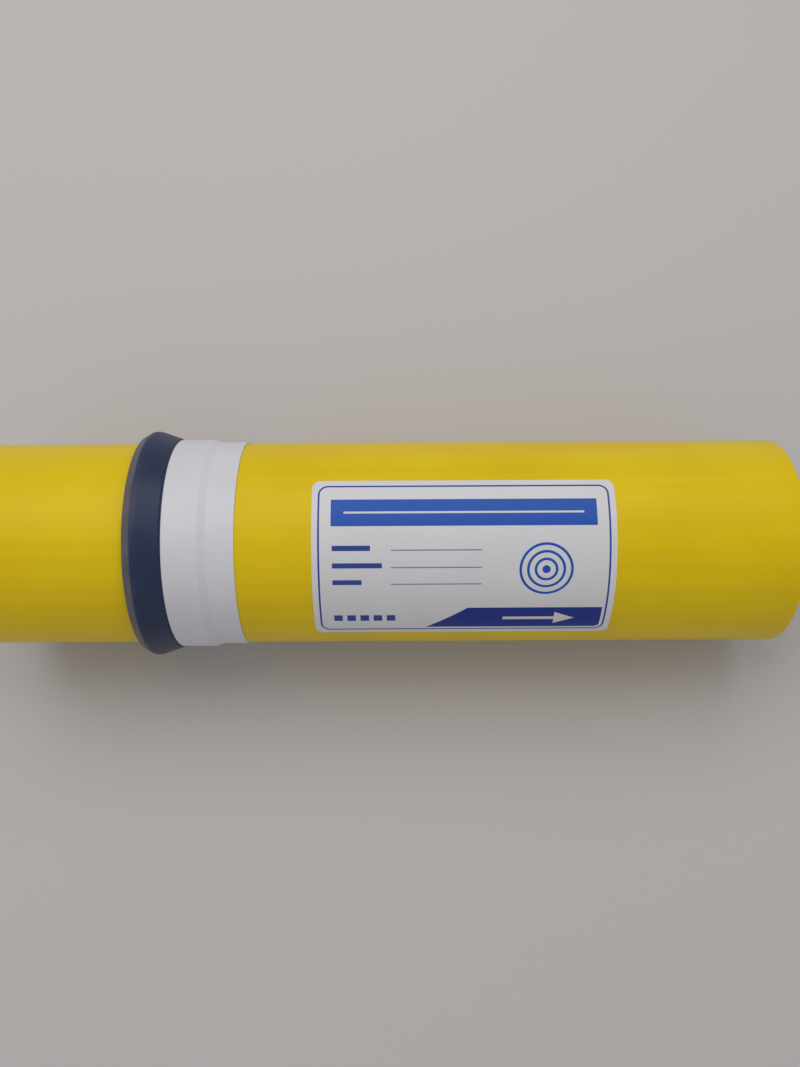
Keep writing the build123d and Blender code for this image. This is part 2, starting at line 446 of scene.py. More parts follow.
def rubber_finish(settings):
    """Smooth dark rubber with a dusty bloom, fine turned marks and a painted pale sheen on the lip's nose.
    """
    rubber = Finish("seal_rubber", specular_ior_level=0.34)
    bloom = contrast(rubber.noise(70.0, 4.0), 0.42, 0.72)
    dust = contrast(rubber.noise(1500.0, 2.0), 0.66, 0.74)
    dusty = (0.16, 0.16, 0.16)
    marks = rubber.noise(1.0, 2.0, (2400.0, 30.0, 30.0))
    along, side, up = rubber.along()
    radius = (side * side + up * up) ** 0.5
    # A painted pale sheen on the lip's nose, where its bevel catches the light, mottled by the bloom
    sheen_edge = settings.land_start + 0.2 * MM
    sheen_full = settings.land_start - 0.5 * MM
    sheen_depth = 1.0 * MM
    scuff_and_sheen = contrast(along, sheen_edge, sheen_full) & (radius > settings.nose_radius - sheen_depth)
    body = rubber.mix(bloom * 0.6, settings.body, settings.bloom)
    # Mixes in the painted pale sheen on the lip's nose
    body = rubber.mix(scuff_and_sheen * (0.55 + 0.45 * bloom), body, settings.nose)
    body = rubber.mix(dust * 0.25, body, dusty)
    return rubber.wear(
        base_color=body,
        roughness=0.36 + 0.16 * bloom,
        normal=rubber.bump(marks * 0.5 + dust * 0.4 + bloom * 0.5, 0.03 * MM),
    )


def label_finish(settings):
    """Coated paper with plain fields: a border, a band, rules, rings, squares and an arrow."""
    label = Finish("label_print", specular_ior_level=0.25)
    across, side, up = label.along()
    turned = label.add("ShaderNodeMath", {"operation": "ARCTAN2"}, {0: up, 1: side})
    lower_edge = settings.centre + settings.width / (2.0 * settings.inner)
    # The layout is in millimetres from the label's lower left corner
    u = (across - LABEL_START) / MM
    v = (lower_edge - turned) * (settings.inner / MM)
    wide = (LABEL_END - LABEL_START) / MM
    tall = settings.width / MM

    def bar(left, low, right, high):
        """A rectangle."""
        return (u > left) & (u < right) & (v > low) & (v < high)

    inset = 2.4
    bend = 3.2
    half_border = 0.32
    margin = 1.3
    past_u = abs(u - wide / 2.0) - (wide / 2.0 - inset - bend) | 0.0
    past_v = abs(v - tall / 2.0) - (tall / 2.0 - inset - bend) | 0.0
    edge = (past_u**2.0 + past_v**2.0) ** 0.5 - bend
    border = abs(edge) < half_border
    inside = edge < -margin

    band = bar(6.6, 44.0, wide - 6.6, 53.5)
    band_rule = bar(11.0, 48.4, wide - 11.0, 49.1)
    rows = (35.6, 29.6, 23.6)
    rule_ends = (20.0, 24.0, 17.0)
    rules = any_of(bar(7.0, low, end, low + 1.8) for low, end in zip(rows, rule_ends))
    lines = any_of(bar(27.0, low, 58.0, low + 0.4) for low in rows)
    from_hub = ((u - 80.0) ** 2.0 + (v - 29.0) ** 2.0) ** 0.5
    radii = (3.6, 6.2, 8.8)
    half_ring = 0.45
    rings = any_of(abs(from_hub - radius) < half_ring for radius in radii) | (from_hub < 1.4)
    lefts = [7.0 + 4.6 * step for step in range(5)]
    squares = any_of(bar(left, 7.6, left + 3.0, 10.6) for left in lefts)
    foot_height = 14.0
    foot_slant = 34.0 + 1.4 * v
    foot = inside & (v < foot_height) & (u > foot_slant)
    arrow_level = 8.8
    arrow_tip = 91.0
    shaft = bar(66.0, 8.1, 84.0, 9.5)
    head = (u > 83.9) & (abs(v - arrow_level) < (arrow_tip - u) * 0.42)

    grain = label.noise(420.0, 3.0)
    stain = label.noise(34.0, 2.0)
    crease = label.noise(1.0, 3.0, (60.0, 22.0, 22.0))
    stained = (0.70, 0.69, 0.69)
    line_grey = (0.20, 0.21, 0.26)
    ink = label.mix(contrast(stain, 0.4, 0.7) * 0.5, settings.paper, stained)
    for mask, tint in (
        (border | rules | squares, settings.line),
        (lines, line_grey),
        (band | rings, settings.band),
        (band_rule, settings.paper),
        (foot, settings.foot),
        (shaft | head, settings.paper),
    ):
        ink = label.mix(mask, ink, tint)
    return label.wear(
        base_color=ink,
        roughness=0.34 + 0.10 * grain,
        normal=label.bump(grain * 0.15 + crease * 1.6, 0.12 * MM),
    )


def membrane_finish(settings):
    """Cut edge of a membrane sheet, stained in places by the glue line."""
    sheet = Finish("membrane_edge")
    stain = contrast(sheet.noise(110.0, 4.0), 0.48, 0.72)
    fibre = sheet.noise(1800.0, 3.0)
    pale = (0.82, 0.80, 0.74)
    body = sheet.mix(stain * 0.7, settings.membrane, settings.glue)
    body = sheet.mix(fibre * 0.25, body, pale)
    return sheet.wear(base_color=body, roughness=0.72 - 0.30 * stain, normal=sheet.bump(fibre, 0.10 * MM))


def carrier_finish(settings):
    """Cut edge of a knitted carrier: pale yarn ends set in glue."""
    knit = Finish("carrier_edge")
    yarn = contrast(knit.noise(1150.0, 2.0), 0.40, 0.62)
    stain = contrast(knit.noise(160.0, 3.0), 0.40, 0.70)
    body = knit.mix(yarn, settings.glue, settings.carrier)
    body = knit.mix(stain * 0.4, body, settings.glue)
    return knit.wear(base_color=body, roughness=0.80 - 0.15 * stain, normal=knit.bump(yarn, 0.25 * MM))


def net_finish(settings):
    """Drawn plastic strands: cloudy, slightly glossy, with a wet film in places."""
    net = Finish("spacer_net", subsurface_weight=0.15, subsurface_radius=(MM, MM, MM))
    cloud = net.noise(240.0, 2.0)
    draw = net.noise(1700.0, 2.0)
    pale = (0.74, 0.77, 0.76)
    body = net.mix(contrast(cloud, 0.35, 0.65), settings.strand_colour, pale)
    return net.wear(base_color=body, roughness=0.30 + 0.2 * cloud, normal=net.bump(draw, 0.04 * MM))


def clear_selection():
    """Deselects every object."""
    bpy.ops.object.select_all(action="DESELECT")


def pick(*pieces):
    """Selects these pieces alone, the first of them active."""
    clear_selection()
    for piece in pieces:
        piece.select_set(True)
    bpy.context.view_layer.objects.active = pieces[0]


def edit_all():
    """Enters edit mode with the whole mesh selected."""
    bpy.ops.object.mode_set(mode="EDIT")
    bpy.ops.mesh.select_all(action="SELECT")


def draw_out(step):
    """Extrudes what is selected by a step."""
    bpy.ops.mesh.extrude_region_move(TRANSFORM_OT_translate={"value": step})


def start_point(name, place):
    """A new piece of one vertex, left in edit mode."""
    clear_selection()
    bpy.ops.mesh.primitive_plane_add(size=MM)
    piece = bpy.context.object
    piece.name = name
    edit_all()
    bpy.ops.mesh.merge(type="CENTER")
    bpy.ops.transform.translate(value=place)
    return piece


def select_verts(piece, test):
    """Selects the vertices of a mesh in edit mode that pass a test of their place."""
    mesh = bmesh.from_edit_mesh(piece.data)
    for vert in mesh.verts:
        vert.select_set(test(vert.co))
    mesh.select_flush_mode()
    bmesh.update_edit_mesh(piece.data)


def near(x, radius):
    """A test for vertices at a corner of an outline."""
    return lambda co: abs(co.x - x) < MERGE_GAP and abs(co.z - radius) < MERGE_GAP


def draw_outline(name, corners, closed=True):
    """Draws (x, radius, rounding) corners as a wire outline in the XZ plane, and leaves it in edit mode."""
    first_x, first_radius, _ = corners[0]
    last_x, last_radius, _ = corners[-1]
    piece = start_point(name, (first_x, 0.0, first_radius))
    for before, after in zip(corners, corners[1:]):
        draw_out((after[0] - before[0], 0.0, after[1] - before[1]))
    if closed:
        ends = (near(first_x, first_radius), near(last_x, last_radius))
        select_verts(piece, lambda co: any(test(co) for test in ends))
        bpy.ops.mesh.edge_face_add()
    for x, radius, rounding in corners:
        if rounding:
            select_verts(piece, near(x, radius))
            bpy.ops.mesh.bevel(offset=rounding, segments=ROUND_STEPS, affect="VERTICES")
    return piece


def divide_long_edges(piece, span):
    """Cuts a wire outline's longest edges into pieces of about this span."""
    bpy.ops.mesh.select_all(action="DESELECT")
    mesh = bmesh.from_edit_mesh(piece.data)
    sizes = [edge.calc_length() for edge in mesh.edges]
    for edge, size in zip(mesh.edges, sizes):
        edge.select_set(size > max(sizes) / 2.0)
    bmesh.update_edit_mesh(piece.data)
    bpy.ops.mesh.subdivide(number_cuts=round(max(sizes) / span))


def turn(piece):
    """Spins a wire outline about the X axis into a closed skin."""
    bpy.ops.mesh.select_all(action="SELECT")
    bpy.ops.mesh.spin(steps=TURN_STEPS, angle=FULL_TURN, center=ORIGIN, axis=AXIS)
    close_skin(piece)
    flatten_shading(piece)


def close_skin(piece):
    """Merges doubles, points the faces outwards, leaves edit mode and smooths the shading."""
    bpy.ops.mesh.select_all(action="SELECT")
    bpy.ops.mesh.remove_doubles(threshold=MERGE_GAP)
    bpy.ops.mesh.normals_make_consistent(inside=False)
    bpy.ops.object.mode_set(mode="OBJECT")
    smooth(piece)


def smooth(piece):
    """Smooths a piece's shading across shallow edges."""
    pick(piece)
    bpy.ops.object.shade_smooth_by_angle(angle=SMOOTH_ANGLE)


def flatten_shading(piece):
    """Keeps wide faces flat in the shading, so that only the rounded edges turn."""
    apply_modifier(piece, "WEIGHTED_NORMAL", weight=FLAT_WEIGHT, keep_sharp=True)


def apply_modifier(piece, kind, **settings):
    """Adds a modifier, sets it up and applies it."""
    modifier = piece.modifiers.new(kind.lower(), kind)
    for name, value in settings.items():
        setattr(modifier, name, value)
    pick(piece)
    bpy.ops.object.modifier_apply(modifier=modifier.name)


def repeat(piece, count, pitch):
    """Repeats a piece along its own X axis, in one mesh."""
    apply_modifier(
        piece,
        "ARRAY",
        count=count,
        use_relative_offset=False,
        use_constant_offset=True,
        constant_offset_displace=(pitch, 0.0, 0.0),
    )


def copy_of(piece, name, moved=0.0, turned=0.0):
    """A copy of a piece, with a mesh of its own, moved along the X axis or turned about it."""
    pick(piece)
    bpy.ops.object.duplicate()
    copy = bpy.context.object
    copy.name = name
    copy.location = (moved, 0.0, 0.0)
    copy.rotation_euler = (turned, 0.0, 0.0)
    bpy.ops.object.transform_apply()
    return copy


def join(pieces):
    """Joins pieces into the first one."""
    pick(*pieces)
    bpy.ops.object.join()
    return pieces[0]


def remove(piece):
    """Deletes a helper object."""
    pick(piece)
    bpy.ops.object.delete()


def paint(piece, material):
    """Gives a piece one material all over."""
    piece.data.materials.clear()
    piece.data.materials.append(material)


def settle(piece, slot, *nodes):
    """Ties a piece to the frame's body and hides the nodes it stands for; its slot is not used."""
    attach(piece, "root")
    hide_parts(*nodes)


def fit(piece, material, slot, *nodes):
    """Gives a piece its finish and its place in the frame."""
    paint(piece, material)
    settle(piece, slot, *nodes)


def curved_sheet(name, ends, inner, film, width, centre, strips, corner=0.0):
    """A thin sheet laid round the X axis: cut flat, divided into strips, bent and thickened."""
    clear_selection()
    bpy.ops.mesh.primitive_plane_add(size=1.0, rotation=(QUARTER_TURN, 0.0, 0.0))
    sheet = bpy.context.object
    sheet.name = name
    sheet.scale = (ends[1] - ends[0], width, 1.0)
    bpy.ops.object.transform_apply()
    edit_all()
    if corner:
        bpy.ops.mesh.bevel(offset=corner, segments=CORNER_STEPS, affect="VERTICES")
    for strip in range(1, strips):
        bpy.ops.mesh.select_all(action="SELECT")
        level = width * (strip / strips - 0.5)
        bpy.ops.mesh.bisect(plane_co=(0.0, 0.0, level), plane_no=(0.0, 0.0, 1.0))
    bpy.ops.object.mode_set(mode="OBJECT")
    apply_modifier(sheet, "SIMPLE_DEFORM", deform_method="BEND", deform_axis="X", angle=width / inner)
    sheet.location = (sum(ends) / 2.0, -inner, 0.0)
    bpy.ops.object.transform_apply()
    sheet.rotation_euler = (centre - math.pi, 0.0, 0.0)
    bpy.ops.object.transform_apply()
    edit_all()
    bpy.ops.mesh.normals_make_consistent(inside=False)
    bpy.ops.object.mode_set(mode="OBJECT")
    face = sheet.data.polygons[0]
    away = Vector((0.0, face.center.y, face.center.z))
    side = 1.0 if face.normal.dot(away) > 0.0 else -1.0
    apply_modifier(sheet, "SOLIDIFY", thickness=film, offset=side)
    bpy.ops.object.mode_set(mode="EDIT")
    close_skin(sheet)
    return sheet


class ELEMENT_OT_wraps(bpy.types.Operator):
    """Winds the main film wrap and the short wrap at the feed end, each with its free tail"""

    bl_idname = "element.wraps"
    bl_label = "Film wraps"

    def execute(self, context):
        settings = context.scene.element_wraps
        film = film_finish(settings)
        waves = bpy.data.textures.new("film_waves", "CLOUDS")
        waves.noise_scale = settings.wave_span
        bore = settings.bore
        joint = settings.joint
        main_outline = [
            (WRAP_START - joint, settings.relief, 0.0),
            (WRAP_START - joint, WRAP_RADIUS, joint),
            (WRAP_END, WRAP_RADIUS, settings.edge),
            *self.rim(settings, WRAP_END, WRAP_RADIUS, -1.0),
            (WRAP_END - settings.turn_step, bore, 0.0),
            (settings.relief_end, bore, 0.0),
            (settings.relief_end, settings.relief, 0.0),
        ]
        feed_outline = [
            (FEED_END + joint, bore, 0.0),
            (FEED_END + joint, FEED_RADIUS, joint),
            (FEED_START, FEED_RADIUS, settings.edge),
            *self.rim(settings, FEED_START, FEED_RADIUS, 1.0),
            (FEED_START + settings.turn_step, bore, 0.0),
        ]
        for name, outline, start, end, radius, node in (
            ("wrap_main", main_outline, WRAP_START, WRAP_END, WRAP_RADIUS, "outer_wrap"),
            ("wrap_feed", feed_outline, FEED_START, FEED_END, FEED_RADIUS, "feed_end_wrap"),
        ):
            wrap = draw_outline(name, outline)
            divide_long_edges(wrap, settings.ring_span)
            turn(wrap)
            apply_modifier(wrap, "DISPLACE", texture=waves, texture_coords="LOCAL", strength=settings.waves)
            smooth(wrap)
            flatten_shading(wrap)
            tail = curved_sheet(
                "wrap_tail",
                ends=(start + settings.tail_inset, end - settings.tail_inset),
                inner=radius,
                film=settings.tail_film,
                width=settings.tail_width,
                centre=settings.tail_angle,
                strips=settings.tail_strips,
            )
            fit(join([wrap, tail]), film, "yellow_wrap", node)
        return {"FINISHED"}

    def rim(self, settings, x, radius, inwards):
        """The steps of the film's turns across a rim, from the skin to the bore."""
        turn_height = (radius - settings.bore) / settings.turns
        back = inwards * settings.turn_step
        steps = []
        for passed in range(1, settings.turns):
            level = radius - passed * turn_height
            above, below = (0.0, back) if passed % 2 else (back, 0.0)
            steps += [(x + above, level, 0.0), (x + below, level - settings.turn_lean, 0.0)]
        return steps


class ELEMENT_OT_collar(bpy.types.Operator):
    """Turns the moulded seal collar with its groove, ring, taper and skirt"""

    bl_idname = "element.collar"
    bl_label = "Seal collar"

    def execute(self, context):
        settings = context.scene.element_collar
        collar = draw_outline(
            "seal_collar_moulded",
            [
                (COLLAR_START, settings.bore, 0.0),
                (COLLAR_START, settings.rim_radius, settings.edge),
                (settings.rim_end, settings.rim_radius, settings.step_edge),
                (settings.rim_end, settings.groove_radius, 0.0),
                (settings.groove_end, settings.groove_radius, 0.0),
                (settings.groove_end, COLLAR_RADIUS, settings.edge),
                (settings.ring_end, COLLAR_RADIUS, settings.step_edge),
                (settings.skirt_start, settings.skirt_radius, settings.step_edge),
                (settings.skirt_end, settings.skirt_radius, settings.joint_edge),
                (settings.skirt_end, settings.tail_radius, 0.0),
                (COLLAR_END, settings.tail_radius, 0.0),
                (COLLAR_END, settings.bore, 0.0),
            ],
        )
        turn(collar)
        plastic = plastic_finish("collar_plastic", settings.body, settings.shade)
        fit(collar, plastic, "white_plastic", "seal_collar")
        return {"FINISHED"}


class ELEMENT_OT_brine_seal(bpy.types.Operator):
    """Turns the rubber lip seal that sits in the collar's groove"""

    bl_idname = "element.brine_seal"
    bl_label = "Brine seal"

    def execute(self, context):
        settings = context.scene.element_seal
        lip_edge = settings.lip_edge
        seal = draw_outline(
            "brine_seal_lip",
            [
                (SEAL_END, settings.leg_radius, 0.0),
                (SEAL_END, settings.heel_radius, settings.heel_round),
                (settings.land_end, SEAL_RADIUS, settings.land_round),
                (settings.land_start, SEAL_RADIUS, settings.land_round),
                (SEAL_START, settings.nose_radius, settings.nose_round),
                (SEAL_START + lip_edge, settings.nose_radius - lip_edge, settings.nose_round),
                (settings.cavity_end, settings.cavity_high, settings.cavity_round),
                (settings.cavity_end, settings.cavity_low, settings.cavity_round),
                (settings.leg_start, settings.cavity_low, settings.cavity_round),
                (settings.leg_start, settings.leg_radius, settings.leg_round),
            ],
        )
        turn(seal)
        fit(seal, rubber_finish(settings), "seal_rubber", "brine_seal")
        return {"FINISHED"}


class ELEMENT_OT_label(bpy.types.Operator):
    """Cuts the label with rounded corners and lays it round the main wrap"""

    bl_idname = "element.label"
    bl_label = "Label"

    def execute(self, context):
        settings = context.scene.element_label
        label = curved_sheet(
            "label_sheet",
            ends=(LABEL_START, LABEL_END),
            inner=settings.inner,
            film=settings.film,
            width=settings.width,
            centre=settings.centre,
            strips=settings.strips,
            corner=settings.corner,
        )
        fit(label, label_finish(settings), "label_print", "label")
        return {"FINISHED"}


class ELEMENT_OT_core_tube(bpy.types.Operator):
    """Turns the core tube with its stub, grooved spigot and bore, and drills its permeate holes"""

    bl_idname = "element.core_tube"
    bl_label = "Core tube"

    def execute(self, context):
        settings = context.scene.element_core
        spigot = settings.spigot
        groove_floor = spigot - settings.groove_depth
        grooves = []
        for place in RING_PLACES:
            left = place - settings.groove_width / 2.0
            right = place + settings.groove_width / 2.0
            grooves += [
                (left, spigot, settings.groove_edge),
                (left, groove_floor, settings.step_edge),
                (right, groove_floor, settings.step_edge),
                (right, spigot, settings.groove_edge),
            ]
        mouth_end = TUBE_END - settings.mouth_depth
        tube = draw_outline(
            "core_tube",
            [
                (TUBE_START, 0.0, 0.0),
                (TUBE_START, spigot - settings.tip, settings.tip_edge),
                (TUBE_START + settings.tip, spigot, settings.tip_edge),
                (-settings.shoulder, spigot, 0.0),
                (-settings.shoulder, TUBE_RADIUS, settings.step_edge),
                (settings.shoulder, TUBE_RADIUS, settings.step_edge),
                (settings.shoulder, spigot, 0.0),
                *grooves,
                (TUBE_END - settings.tip, spigot, settings.tip_edge),
                (TUBE_END, spigot - settings.tip, settings.tip_edge),
                (TUBE_END, settings.mouth, settings.mouth_edge),
                (mouth_end, settings.mouth, 0.0),
                (mouth_end, settings.bore, settings.step_edge),
                (settings.bore_end, settings.bore, settings.tip_edge),
                (settings.bore_end, 0.0, 0.0),
            ],
            closed=False,
        )
        divide_long_edges(tube, settings.face_span)
        turn(tube)
        self.drill(tube, settings)
        plastic = plastic_finish("core_plastic", settings.body, settings.shade)
        fit(tube, plastic, "core_plastic", "permeate_tube")
        return {"FINISHED"}

    def drill(self, tube, settings):
        """Drills two crossing rows of holes, the second between the holes of the first."""
        first_row = int(2.0 * ROLL_END / settings.hole_pitch)
        rows = []
        for lean, holes in ((0.0, first_row), (QUARTER_TURN, first_row - 1)):
            clear_selection()
            bpy.ops.mesh.primitive_cylinder_add(
                vertices=DRILL_SIDES,
                radius=settings.hole,
                depth=4.0 * TUBE_RADIUS,
                location=(-settings.hole_pitch * (holes - 1) / 2.0, 0.0, 0.0),
                rotation=(lean, 0.0, 0.0),
            )
            row = bpy.context.object
            repeat(row, holes, settings.hole_pitch)
            rows.append(row)
        drills = join(rows)
        apply_modifier(tube, "BOOLEAN", operation="DIFFERENCE", object=drills, solver="EXACT")
        remove(drills)
        smooth(tube)
        flatten_shading(tube)


class ELEMENT_OT_o_rings(bpy.types.Operator):
    """Turns the two O-rings of the outlet spigot"""

    bl_idname = "element.o_rings"
    bl_label = "O-rings"

    def execute(self, context):
        settings = context.scene.element_core
        rubber = rubber_finish(context.scene.element_seal)
        half = settings.ring_section / 2.0
        low = settings.ring_radius - half
        high = settings.ring_radius + half
        # Just short of half the section, so that two roundings leave a shared edge between them
        rounding = half * 0.999
        first, second = RING_PLACES
        names = [node + "_moulded" for node in RING_NODES]
        square = ((-half, low), (-half, high), (half, high), (half, low))
        ring = draw_outline(names[0], [(first + x, radius, rounding) for x, radius in square])
        turn(ring)
        twin = copy_of(ring, names[1], moved=second - first)
        for piece, node in zip((ring, twin), RING_NODES):
            fit(piece, rubber, "seal_rubber", node)
        return {"FINISHED"}


def hub_corner(settings, arc):
    """The corner of the hub's polygon about which an arc of the first leaf turns."""
    hub = settings.pitch / (2.0 * math.sin(SECTOR / 2.0))
    return Vector((0.0, hub * math.cos(SECTOR * arc), hub * math.sin(SECTOR * arc)))


def arc_ray(arc):
    """The direction in which an arc of the first leaf begins, or a fraction of it later."""
    turned = SECTOR * (arc - 0.5) - QUARTER_TURN
    return Vector((0.0, math.cos(turned), math.sin(turned)))


def arc_range(settings):
    """The arcs of a leaf that may lie between the core tube and the wrap."""
    first = max(0, math.floor((settings.inner - settings.pitch) / settings.pitch) - 1)
    last = math.ceil((settings.outer + settings.pitch) / settings.pitch) + 1
    return range(first, last)


def wound_sheet(name, settings, low, high, end, bounds):
    """A sheet between two offsets from a leaf's inner face: a cut edge spun arc by arc, then drawn out."""
    arcs = arc_range(settings)
    ray = arc_ray(arcs[0])
    near_end = Vector((-end, 0.0, 0.0))
    radius = settings.first_radius + arcs[0] * settings.pitch + low
    sheet = start_point(name, hub_corner(settings, arcs[0]) + ray * radius + near_end)
    draw_out(ray * (high - low))
    bpy.ops.mesh.select_all(action="SELECT")
    for arc in arcs:
        centre = hub_corner(settings, arc) + near_end
        bpy.ops.mesh.spin(steps=settings.arc_steps, angle=-SECTOR, center=centre, axis=AXIS)
    bpy.ops.mesh.select_all(action="SELECT")
    bpy.ops.mesh.remove_doubles(threshold=MERGE_GAP)
    draw_out((2.0 * end, 0.0, 0.0))
    close_skin(sheet)
    apply_modifier(sheet, "BOOLEAN", operation="INTERSECT", object=bounds, solver="EXACT")
    smooth(sheet)
    return sheet


def roll_bounds(settings):
    """A sleeve from the core tube to the wrap, which trims the wound sheets."""
    past = ROLL_END + settings.trim
    bounds = draw_outline(
        "roll_bounds",
        [
            (-past, settings.inner, 0.0),
            (-past, settings.outer, 0.0),
            (past, settings.outer, 0.0),
            (past, settings.inner, 0.0),
        ],
    )
    turn(bounds)
    return bounds


def set_round(first, stem, slot, node_stem):
    """Sets copies of the first wound piece round the core tube, and ties each to the frame."""
    pieces = [first]
    for step in range(1, LEAF_COUNT):
        pieces.append(copy_of(first, f"{stem}_{step + 1}", turned=SECTOR * step))
    for place, piece in enumerate(pieces, 1):
        settle(piece, slot, f"{node_stem}_{place}")


class ELEMENT_OT_leaves(bpy.types.Operator):
    """Winds the membrane leaves, each a carrier between two membrane skins"""

    bl_idname = "element.leaves"
    bl_label = "Membrane leaves"

    def execute(self, context):
        settings = context.scene.element_roll
        membrane = membrane_finish(settings)
        carrier = carrier_finish(settings)
        bounds = roll_bounds(settings)
        lower_skin = settings.skin
        upper_skin = settings.leaf - settings.skin
        gap = settings.skin_gap
        layers = (
            (0.0, lower_skin, ROLL_END, membrane),
            (lower_skin + gap, upper_skin - gap, ROLL_END - settings.carrier_gap, carrier),
            (upper_skin, settings.leaf, ROLL_END, membrane),
        )
        sheets = []
        for low, high, end, finish in layers:
            sheet = wound_sheet("leaf_1", settings, low, high, end, bounds)
            paint(sheet, finish)
            sheets.append(sheet)
        remove(bounds)
        set_round(join(sheets), "leaf", "membrane_sheet", "membrane_leaf")
        return {"FINISHED"}


class ELEMENT_OT_nets(bpy.types.Operator):
    """Winds the spacer nets: crossed strands at both ends, and plain sheet deeper inside"""

    bl_idname = "element.nets"
    bl_label = "Spacer nets"

    def execute(self, context):
        settings = context.scene.element_roll
        bounds = roll_bounds(settings)
        low = settings.leaf + settings.net_gap
        high = low + settings.net
        core = wound_sheet("net_1", settings, low, high, ROLL_END - settings.net_depth, bounds)
        remove(bounds)
        path, run = self.wound_path(settings, (low + high) / 2.0)
        net = join([core, self.strands(settings, path, run)])
        smooth(net)
        paint(net, net_finish(settings))
        set_round(net, "net", "spacer_net", "feed_spacer")
        return {"FINISHED"}

    def wound_path(self, settings, offset):
        """A flat curve along the middle of a net, from the core tube to the wrap, and its length."""
        points = []
        clearance = settings.net / 2.0
        for arc in arc_range(settings):
            centre = hub_corner(settings, arc)
            radius = settings.first_radius + arc * settings.pitch + offset
            for step in range(settings.arc_steps):
                point = centre + arc_ray(arc + step / settings.arc_steps) * radius
                if settings.inner + clearance < point.length < settings.outer - clearance:
                    points.append(point)
        curve = bpy.data.curves.new("net_path", "CURVE")
        curve.dimensions = "2D"
        spline = curve.splines.new("POLY")
        spline.points.add(len(points) - 1)
        for knot, point in zip(spline.points, points):
            knot.co = (point.y, point.z, 0.0, 1.0)
        path = bpy.data.objects.new("net_path", curve)
        bpy.context.collection.objects.link(path)
        return path, sum((after - before).length for before, after in zip(points, points[1:]))

    def strands(self, settings, path, run):
        """Crossed strands at both ends of the roll, in a row that follows the path."""
        slant = settings.net_depth / 2.0
        steps = settings.strand_steps
        rows = []
        for end in (1.0, -1.0):
            for side in (1.0, -1.0):
                clear_selection()
                bpy.ops.mesh.primitive_circle_add(
                    vertices=settings.strand_sides, radius=settings.strand, fill_type="NGON"
                )
                strand = bpy.context.object
                edit_all()
                bpy.ops.transform.resize(value=(settings.strand_width, 1.0, 1.0))
                lean = 0.0 if side > 0.0 else slant
                layer = side * settings.strand * settings.strand_layer
                bpy.ops.transform.translate(value=(lean + settings.strand, layer, end * ROLL_END))
                for _ in range(steps):
                    draw_out((side * slant / steps, 0.0, -end * settings.net_depth / steps))
                close_skin(strand)
                rows.append(strand)
        strands = join(rows)
        repeat(strands, int((run - slant - 2.0 * settings.strand) / settings.mesh), settings.mesh)
        apply_modifier(strands, "CURVE", object=path, deform_axis="POS_X")
        # The flat curve's X, Y and Z are the frame's Y, Z and X
        strands.matrix_world = Matrix(((0, 0, 1, 0), (1, 0, 0, 0), (0, 1, 0, 0), (0, 0, 0, 1)))
        bpy.ops.object.transform_apply()
        remove(path)
        return strands


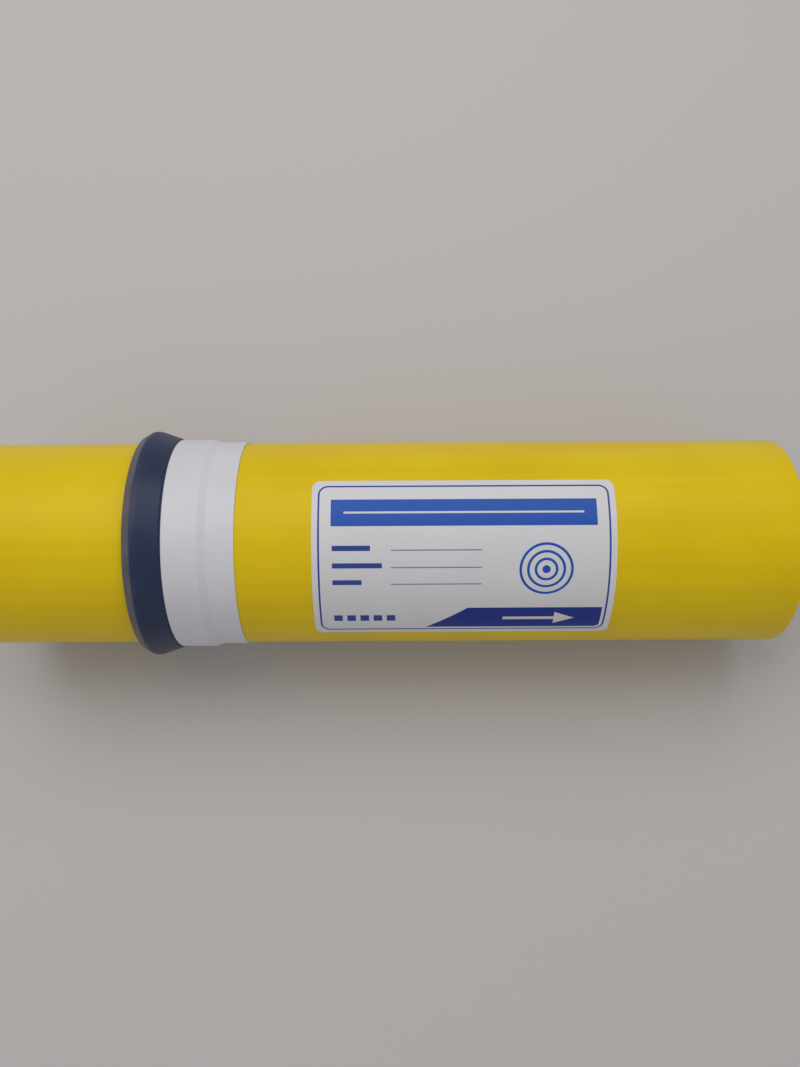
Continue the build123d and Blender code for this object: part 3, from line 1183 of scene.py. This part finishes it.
class ELEMENT_OT_stage(bpy.types.Operator):
    """Sets the floor, the lights and the camera"""

    bl_idname = "element.stage"
    bl_label = "Stage"

    def execute(self, context):
        settings = context.scene.element_stage
        context.scene.view_settings.view_transform = "Standard"
        self.lay_floor(context, settings)
        self.hang_lights(settings)
        self.light_evenly(context, settings)
        self.place_camera(context, settings)
        return {"FINISHED"}

    def lay_floor(self, context, settings):
        """A floor that touches the seal's lip and the main wrap's far rim."""
        seal = context.scene.element_seal
        lip = (seal.land_start + seal.land_end) / 2.0
        slope = math.atan2(SEAL_RADIUS - WRAP_RADIUS, WRAP_END - lip)
        clear_selection()
        bpy.ops.mesh.primitive_plane_add(size=FLOOR_SIZE)
        floor = bpy.context.object
        floor.name = "floor"
        floor.rotation_euler = (0.0, -slope, 0.0)
        floor.location = (lip, 0.0, -SEAL_RADIUS - settings.floor_gap)
        finish = Finish("floor_paint", specular_ior_level=0.2)
        cloud = finish.noise(3.0, 2.0)
        shade = tuple(value * 0.96 for value in settings.floor)
        finish.wear(base_color=finish.mix(cloud, shade, settings.floor), roughness=0.6 + 0.1 * cloud)
        across, aside, _ = finish.along()
        far = contrast((across * across + aside * aside) ** 0.5, settings.fade_start, settings.fade_end)
        backdrop = finish.add("ShaderNodeEmission", {}, {"Color": settings.backdrop})
        painted = Field(finish, finish.shader.outputs[0])
        faded = finish.add("ShaderNodeMixShader", {}, {0: far, 1: painted, 2: backdrop})
        finish.fill(finish.nodes["Material Output"].inputs["Surface"], faded)
        floor.data.materials.append(finish.material)

    def hang_lights(self, settings):
        """A wide softbox above and behind, and a weaker one in front."""
        for name, place, size, strength, tint in (
            ("key_box", settings.key_place, settings.key_size, settings.key_power, settings.key_tint),
            ("fill_box", settings.fill_place, settings.fill_size, settings.fill_power, settings.fill_tint),
        ):
            clear_selection()
            bpy.ops.object.light_add(type="AREA", location=tuple(place))
            lamp = bpy.context.object
            lamp.name = name
            lamp.rotation_euler = Vector(place).to_track_quat("Z", "Y").to_euler()
            lamp.data.shape = "RECTANGLE"
            lamp.data.size, lamp.data.size_y = size
            lamp.data.energy = strength
            lamp.data.color = tint

    def light_evenly(self, context, settings):
        """Even light from all round, and the backdrop's colour wherever the world is seen or mirrored."""
        world = bpy.data.worlds.new("even_light")
        world.use_nodes = True
        shading = Shading(world.node_tree)
        even = shading.nodes["Background"]
        shading.fill(even.inputs["Color"], settings.sky)
        backdrop = shading.add("ShaderNodeBackground", {}, {"Color": settings.backdrop})
        rays = shading.add("ShaderNodeLightPath").socket.node.outputs
        kinds = ("Is Camera Ray", "Is Glossy Ray", "Is Transmission Ray")
        seen = any_of(Field(shading, rays[kind]) for kind in kinds)
        light = Field(shading, even.outputs[0])
        chosen = shading.add("ShaderNodeMixShader", {}, {0: seen, 1: light, 2: backdrop})
        shading.fill(shading.nodes["World Output"].inputs["Surface"], chosen)
        context.scene.world = world

    def place_camera(self, context, settings):
        """A camera above the element, square to its axis."""
        tilt = settings.elevation
        away = Vector((0.0, -math.cos(tilt), math.sin(tilt)))
        rise = Vector((0.0, math.sin(tilt), math.cos(tilt)))
        right = Vector(AXIS)
        top = rise * math.cos(settings.roll) + right * math.sin(settings.roll)
        side = right * math.cos(settings.roll) - rise * math.sin(settings.roll)
        clear_selection()
        bpy.ops.object.camera_add()
        camera = bpy.context.object
        camera.location = right * settings.aim_along + rise * settings.aim_rise + away * settings.distance
        camera.rotation_euler = Matrix((side, top, away)).transposed().to_euler()
        camera.data.sensor_width = SENSOR_WIDTH
        camera.data.lens = settings.lens
        camera.data.clip_start = CLIP_START
        context.scene.camera = camera


class ELEMENT_PT_pieces(bpy.types.Panel):
    """Lists the element's pieces"""

    bl_idname = "ELEMENT_PT_pieces"
    bl_label = "Membrane element"
    bl_space_type = "VIEW_3D"
    bl_region_type = "UI"
    bl_category = "Element"

    def draw(self, context):
        for operator in OPERATORS:
            self.layout.operator(operator.bl_idname)


GROUPS = {
    "element_wraps": WrapSettings,
    "element_collar": CollarSettings,
    "element_seal": SealSettings,
    "element_label": LabelSettings,
    "element_core": CoreSettings,
    "element_roll": RollSettings,
    "element_stage": StageSettings,
}
OPERATORS = (
    ELEMENT_OT_stage,
    ELEMENT_OT_wraps,
    ELEMENT_OT_collar,
    ELEMENT_OT_brine_seal,
    ELEMENT_OT_label,
    ELEMENT_OT_core_tube,
    ELEMENT_OT_o_rings,
    ELEMENT_OT_leaves,
    ELEMENT_OT_nets,
)


def register():
    """Registers the settings, the operators and the panel."""
    for name, group in GROUPS.items():
        bpy.utils.register_class(group)
        setattr(bpy.types.Scene, name, PointerProperty(type=group))
    for shown in (*OPERATORS, ELEMENT_PT_pieces):
        bpy.utils.register_class(shown)


def unregister():
    """Takes back what register made."""
    for shown in (ELEMENT_PT_pieces, *reversed(OPERATORS)):
        bpy.utils.unregister_class(shown)
    for name, group in reversed(GROUPS.items()):
        delattr(bpy.types.Scene, name)
        bpy.utils.unregister_class(group)


def main():
    """Makes every piece and the stage."""
    register()
    bpy.ops.element.stage()
    bpy.ops.element.wraps()
    bpy.ops.element.collar()
    bpy.ops.element.brine_seal()
    bpy.ops.element.label()
    bpy.ops.element.core_tube()
    bpy.ops.element.o_rings()
    bpy.ops.element.leaves()
    bpy.ops.element.nets()


if __name__ == "__main__":
    main()
